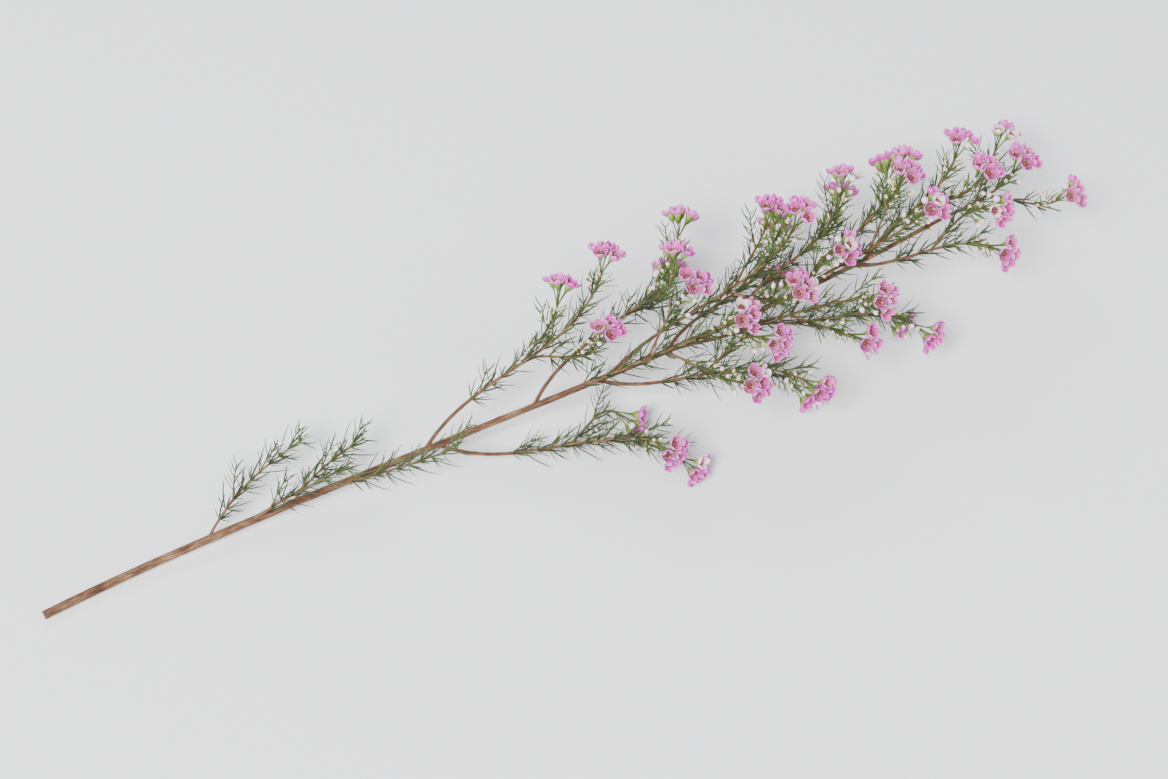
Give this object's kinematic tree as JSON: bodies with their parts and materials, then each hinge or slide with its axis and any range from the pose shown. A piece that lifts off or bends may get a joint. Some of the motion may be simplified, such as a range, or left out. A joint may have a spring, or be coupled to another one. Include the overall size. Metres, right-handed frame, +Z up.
{
  "type": "waxflower stem",
  "caption": "Cut waxflower stem lying on its side: a woody stem with leafy side sprays of needle leaves and heads of small pink cup flowers, for vases and bouquets.",
  "frame": {"origin": "middle of the bounding box's underside, on the surface that the stem lies on", "axes": "+X runs from the cut end to the flowering tip, +Z is up, +Y is to the left seen from the cut end"},
  "size_m": [0.6632, 0.1502, 0.1244],
  "materials": {
    "bark": "matt, finely ridged reddish-brown bark",
    "foliage": "satin green needle leaves, stalks and calyces",
    "petals": "waxy satin pink petals"
  },
  "bodies": {
    "root": {"main_stem": "bark", "leafy_shoot_01": "foliage", "leafy_shoot_02": "foliage", "leafy_shoot_03": "foliage", "leafy_shoot_04": "foliage", "side_spray_01": "foliage", "side_spray_02": "foliage", "side_spray_03": "foliage", "side_spray_04": "foliage", "side_spray_05": "foliage", "side_spray_06": "foliage", "side_spray_07": "foliage", "side_spray_08": "foliage", "side_spray_09": "foliage", "side_spray_10": "foliage", "side_spray_11": "foliage", "side_spray_12": "foliage", "side_spray_13": "foliage", "side_spray_14": "foliage", "leader_spray": "foliage", "flower_head_01": "petals", "flower_head_02": "petals", "flower_head_03": "petals", "flower_head_04": "petals", "flower_head_05": "petals", "flower_head_06": "petals", "flower_head_07": "petals", "flower_head_08": "petals", "flower_head_09": "petals", "flower_head_10": "petals", "flower_head_11": "petals", "flower_head_12": "petals", "flower_head_13": "petals", "flower_head_14": "petals", "flower_head_15": "petals", "flower_head_16": "petals", "flower_head_17": "petals", "flower_head_18": "petals", "flower_head_19": "petals", "flower_head_20": "petals", "flower_head_21": "petals", "flower_head_22": "petals", "flower_head_23": "petals", "flower_head_24": "petals", "flower_head_25": "petals", "flower_head_26": "petals", "flower_head_27": "petals", "flower_head_28": "petals", "flower_head_29": "petals", "flower_head_30": "petals", "flower_head_31": "petals", "flower_head_32": "petals", "flower_head_33": "petals", "flower_head_34": "petals", "flower_head_35": "petals", "flower_head_36": "petals", "flower_head_37": "petals", "flower_head_38": "petals", "flower_head_39": "petals"}
  },
  "joints": []
}
